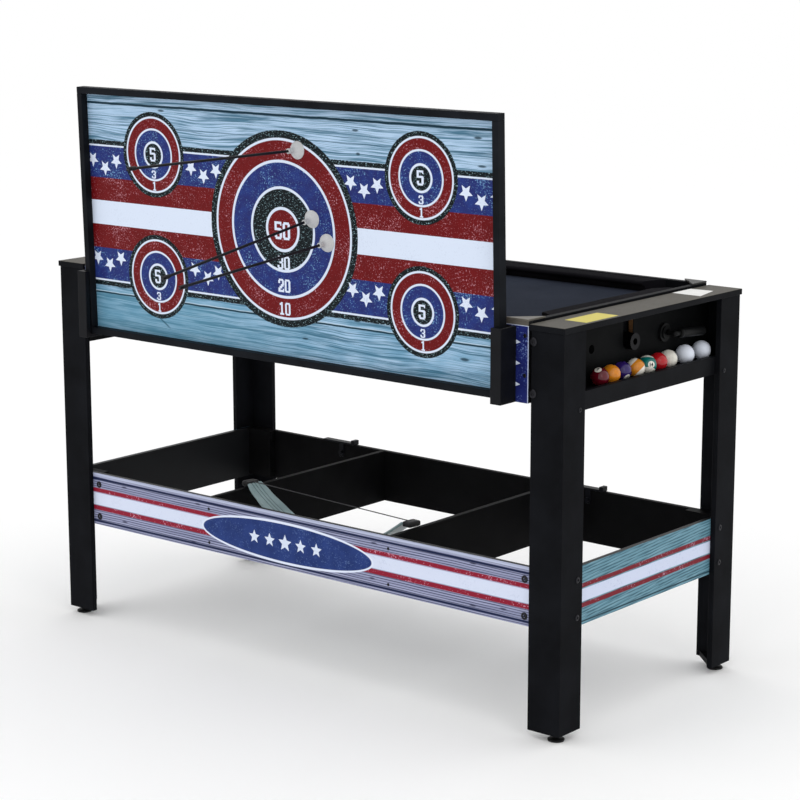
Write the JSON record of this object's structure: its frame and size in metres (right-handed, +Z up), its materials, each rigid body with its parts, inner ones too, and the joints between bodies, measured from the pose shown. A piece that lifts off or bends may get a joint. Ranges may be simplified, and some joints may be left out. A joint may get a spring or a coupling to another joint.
{
  "type": "swivel multi-game table",
  "caption": "Free-standing game table with a swivelling pool and puck body on L-shaped legs, a framed suction-arrow target, a storage tray, a bow and balls.",
  "frame": {"origin": "on the floor, centred between the four levelling feet", "axes": "+X along the table's length, +Y from the target side to the back, +Z up"},
  "size_m": [1.386, 1.1042, 1.2055],
  "materials": {
    "black_laminate": "satin black laminated fibreboard",
    "stretcher_print": "printed laminate",
    "end_print": "printed laminate",
    "socket_plastic": "black moulded plastic",
    "pin_plastic": "black moulded grip",
    "screw_black": "black oxide",
    "apron_print": "printed laminate, stars and stripes",
    "tube_steel": "plated steel tube",
    "bed_board": "fibreboard",
    "pool_cloth": "dark blue-grey felt",
    "cushion_cloth": "dark felt over rubber",
    "pocket_plastic": "grey moulded plastic",
    "hockey_white": "white gloss laminate",
    "target_print": "printed hardboard, ring targets",
    "target_frame": "black laminate",
    "arrow_cup": "off-white rubber",
    "arrow_shaft": "black fibre shaft",
    "foot_plastic": "moulded black",
    "bow_teal": "teal-grey moulded plastic with black ribs",
    "bow_string": "braided cord",
    "bow_black": "black moulded grip",
    "ball_maroon": "polished resin",
    "ball_orange": "polished resin",
    "ball_purple": "polished resin",
    "ball_teal": "polished resin",
    "ball_red": "polished resin",
    "ball_white": "polished resin",
    "tt_white": "celluloid"
  },
  "bodies": {
    "frame": {"leg_front_right": "black_laminate", "leg_front_left": "black_laminate", "leg_back_right": "black_laminate", "leg_back_left": "black_laminate", "leg_corner_plates": "black_laminate", "front_stretcher": "stretcher_print", "back_stretcher": "black_laminate", "end_stretchers": "end_print", "tray_dividers": "black_laminate", "corner_cleats": "black_laminate", "back_clips": "socket_plastic", "header_panel_right": "black_laminate", "header_panel_left": "black_laminate", "ball_lips": "black_laminate", "ball_ledges": "black_laminate", "header_cap_right": "black_laminate", "header_cap_left": "black_laminate", "lock_bushes": "pin_plastic", "frame_screws": "screw_black"},
    "playing_body": {"front_apron": "apron_print", "back_apron": "black_laminate", "right_end_board": "black_laminate", "left_end_board": "black_laminate", "pivot_axles": "tube_steel", "pool_bed": "bed_board", "pool_cloth": "pool_cloth", "side_cushions": "cushion_cloth", "end_cushions": "cushion_cloth", "pocket_covers": "pocket_plastic", "pocket_cups": "socket_plastic", "hockey_bed": "hockey_white", "target_sockets": "socket_plastic", "body_screws": "screw_black"},
    "target_board": {"target_panel": "target_print", "target_frame_rails": "target_frame", "target_frame_stiles": "target_frame"},
    "arrow_1": {"arrow_1_cup": "arrow_cup", "arrow_1_shaft": "arrow_shaft"},
    "arrow_2": {"arrow_2_cup": "arrow_cup", "arrow_2_shaft": "arrow_shaft"},
    "arrow_3": {"arrow_3_cup": "arrow_cup", "arrow_3_shaft": "arrow_shaft"},
    "lock_pin_right": {"lock_pin_right": "pin_plastic"},
    "lock_pin_left": {"lock_pin_left": "pin_plastic"},
    "foot_front_right": {"foot_front_right": "foot_plastic"},
    "foot_front_left": {"foot_front_left": "foot_plastic"},
    "foot_back_right": {"foot_back_right": "foot_plastic"},
    "foot_back_left": {"foot_back_left": "foot_plastic"},
    "bow": {"bow_limbs": "bow_teal", "bow_string": "bow_string", "bow_grip_and_tips": "bow_black"},
    "ball_maroon": {"ball_maroon": "ball_maroon"},
    "ball_orange": {"ball_orange": "ball_orange"},
    "ball_purple": {"ball_purple": "ball_purple"},
    "ball_orange_stripe": {"ball_orange_stripe": "ball_orange"},
    "ball_teal_stripe": {"ball_teal_stripe": "ball_teal"},
    "ball_red": {"ball_red": "ball_red"},
    "ball_cue": {"ball_cue": "ball_white"},
    "table_tennis_ball_1": {"table_tennis_ball_1": "tt_white"},
    "table_tennis_ball_2": {"table_tennis_ball_2": "tt_white"}
  },
  "joints": [
    {"name": "table_swivel", "type": "hinge", "parent": "frame", "child": "playing_body", "pos_m": [0, 0, 0.74], "axis": [-1, 0, 0], "range_deg": [0, 180]},
    {"name": "target_lift_out", "type": "slide", "parent": "playing_body", "child": "target_board", "axis": [0, -0.0279, 0.9996], "range_m": [0, 0.16]},
    {"name": "lock_pin_right_push", "type": "slide", "parent": "frame", "child": "lock_pin_right", "axis": [-1, 0, 0], "range_m": [0, 0.01]},
    {"name": "lock_pin_left_push", "type": "slide", "parent": "frame", "child": "lock_pin_left", "axis": [1, 0, 0], "range_m": [0, 0.01]},
    {"name": "bow_lift_out", "type": "slide", "parent": "frame", "child": "bow", "axis": [0, 0, 1], "range_m": [0, 0.2]},
    {"name": "arrow_1_pull_off", "type": "slide", "parent": "target_board", "child": "arrow_1", "axis": [-0.0171, -0.9999, -0.0028], "range_m": [0, 0.06]},
    {"name": "arrow_2_pull_off", "type": "slide", "parent": "target_board", "child": "arrow_2", "axis": [0.0739, -0.9875, -0.1391], "range_m": [0, 0.06]},
    {"name": "arrow_3_pull_off", "type": "slide", "parent": "target_board", "child": "arrow_3", "axis": [0.0901, -0.9936, -0.0687], "range_m": [0, 0.06]},
    {"name": "foot_front_right_turn", "type": "hinge", "parent": "frame", "child": "foot_front_right", "pos_m": [0.668, -0.286, 0], "axis": [0, 0, 1], "continuous": true},
    {"name": "foot_front_left_turn", "type": "hinge", "parent": "frame", "child": "foot_front_left", "pos_m": [-0.668, -0.286, 0], "axis": [0, 0, 1], "continuous": true},
    {"name": "foot_back_right_turn", "type": "hinge", "parent": "frame", "child": "foot_back_right", "pos_m": [0.668, 0.286, 0], "axis": [0, 0, 1], "continuous": true},
    {"name": "foot_back_left_turn", "type": "hinge", "parent": "frame", "child": "foot_back_left", "pos_m": [-0.668, 0.286, 0], "axis": [0, 0, 1], "continuous": true},
    {"name": "ball_maroon_lift_out", "type": "slide", "parent": "frame", "child": "ball_maroon", "axis": [0.7071, 0, 0.7071], "range_m": [0, 0.06]},
    {"name": "ball_orange_lift_out", "type": "slide", "parent": "frame", "child": "ball_orange", "axis": [0.7071, 0, 0.7071], "range_m": [0, 0.06]},
    {"name": "ball_purple_lift_out", "type": "slide", "parent": "frame", "child": "ball_purple", "axis": [0.7071, 0, 0.7071], "range_m": [0, 0.06]},
    {"name": "ball_orange_stripe_lift_out", "type": "slide", "parent": "frame", "child": "ball_orange_stripe", "axis": [0.7071, 0, 0.7071], "range_m": [0, 0.06]},
    {"name": "ball_teal_stripe_lift_out", "type": "slide", "parent": "frame", "child": "ball_teal_stripe", "axis": [0.7071, 0, 0.7071], "range_m": [0, 0.06]},
    {"name": "ball_red_lift_out", "type": "slide", "parent": "frame", "child": "ball_red", "axis": [0.7071, 0, 0.7071], "range_m": [0, 0.06]},
    {"name": "ball_cue_lift_out", "type": "slide", "parent": "frame", "child": "ball_cue", "axis": [0.7071, 0, 0.7071], "range_m": [0, 0.06]},
    {"name": "table_tennis_ball_1_lift_out", "type": "slide", "parent": "frame", "child": "table_tennis_ball_1", "axis": [0.7772, 0, 0.6292], "range_m": [0, 0.06]},
    {"name": "table_tennis_ball_2_roll", "type": "slide", "parent": "frame", "child": "table_tennis_ball_2", "axis": [0, 1, 0], "range_m": [0, 0.036]}
  ]
}
